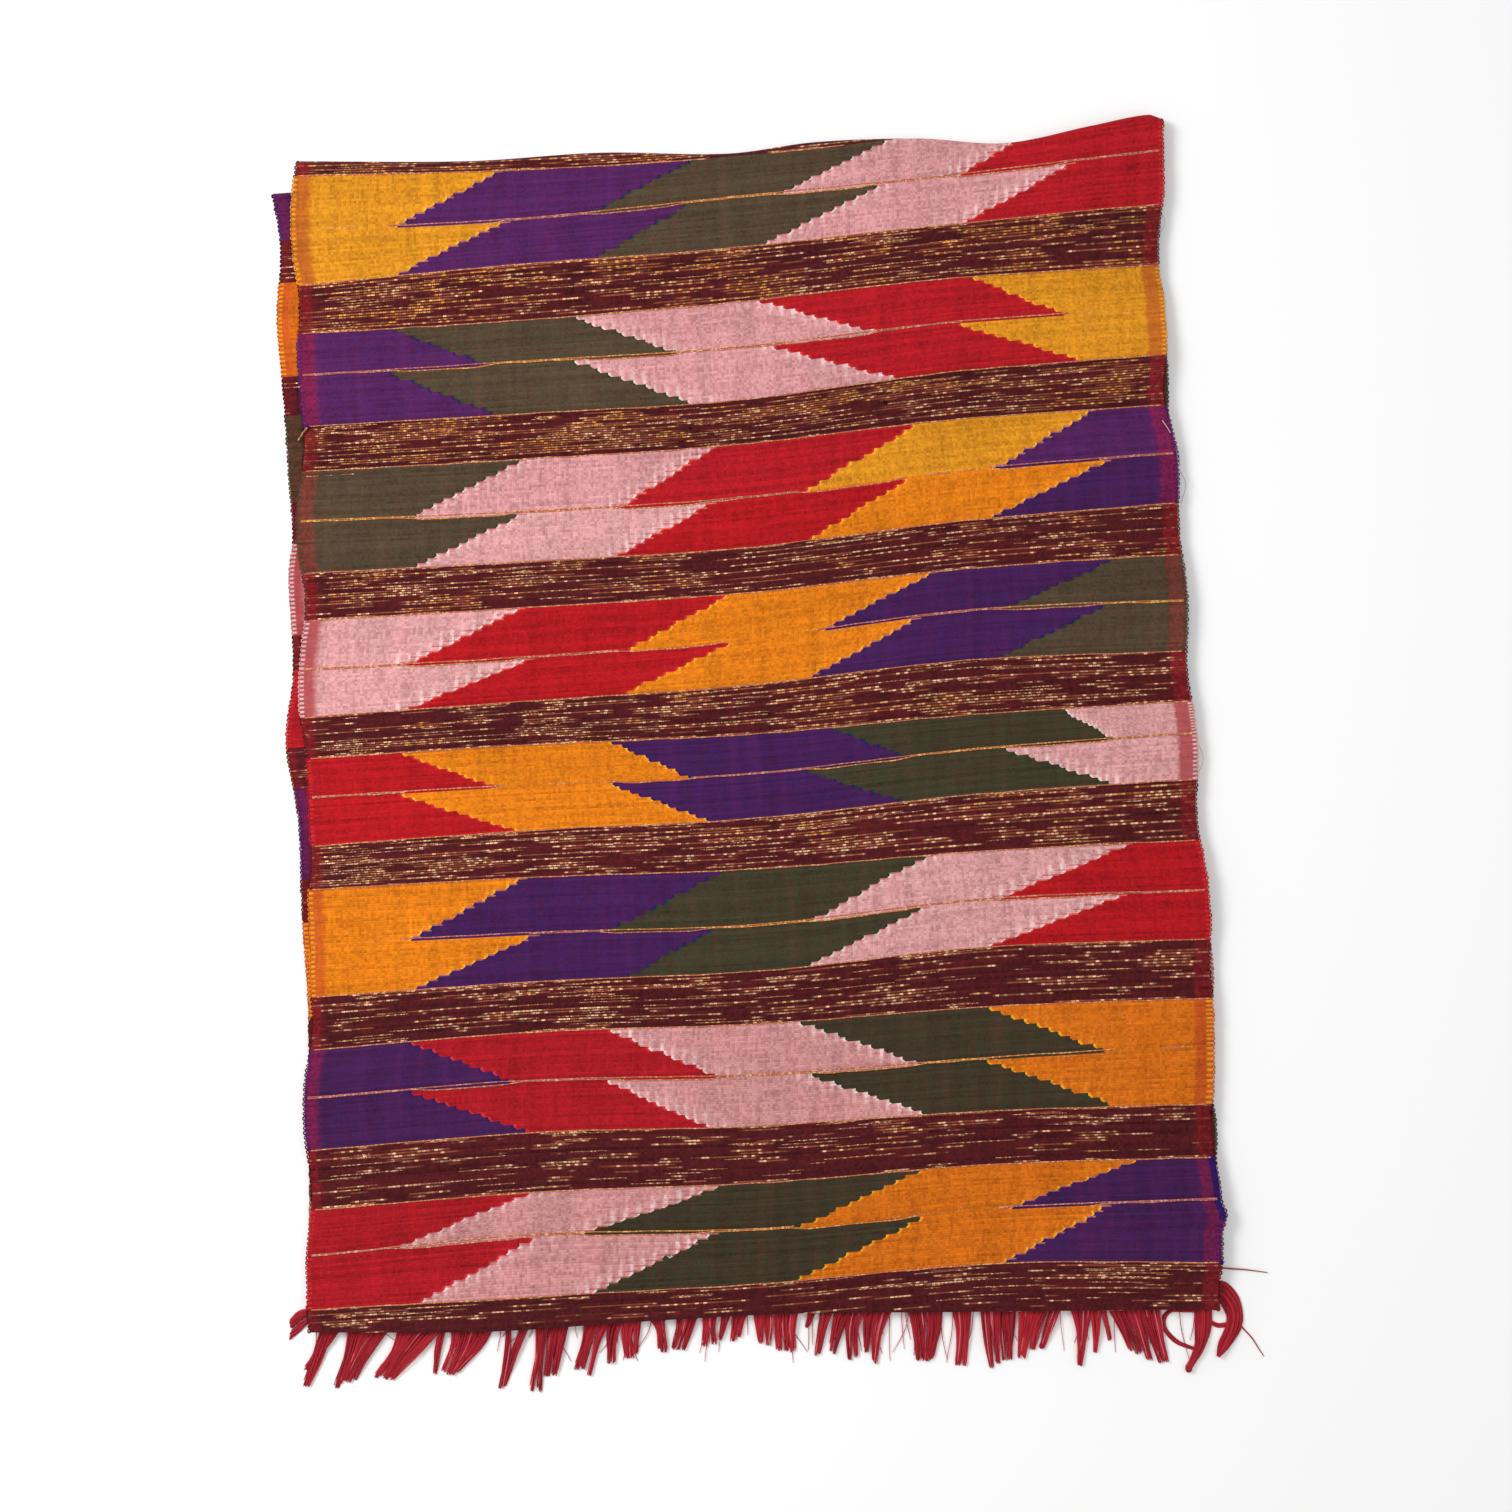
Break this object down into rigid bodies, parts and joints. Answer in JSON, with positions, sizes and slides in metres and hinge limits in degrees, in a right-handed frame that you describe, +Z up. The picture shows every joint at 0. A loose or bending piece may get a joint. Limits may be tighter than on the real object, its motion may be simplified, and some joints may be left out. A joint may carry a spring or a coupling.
{
  "type": "folded woven half shawl",
  "caption": "Hand-woven half shawl folded flat in a rectangle, with stepped diagonal bands of colour, brown and gold bands, and a red thread fringe at one end.",
  "frame": {"origin": "the middle of the folded shawl, on the surface that it lies on", "axes": "+Z up off the surface, +Y along the cloth towards the outer fold at its far end, +X across the cloth to the right as seen from the fringe end"},
  "size_m": [0.4465, 0.5917, 0.0077],
  "materials": {
    "front_cloth": "hand-woven cotton in coloured stepped bands, with gold thread in the brown bands; matt, slight glint",
    "hidden_cloth": "the same woven cotton, seen at its selvedges and fold",
    "back_cloth": "the same woven cotton in coloured stepped bands, matt",
    "fringe_yarn": "crimson cotton warp threads, loosely bunched, matt"
  },
  "bodies": {
    "root": {"front_panel": "front_cloth", "hidden_layers": "hidden_cloth", "back_panel": "back_cloth", "fringe": "fringe_yarn"}
  },
  "joints": []
}
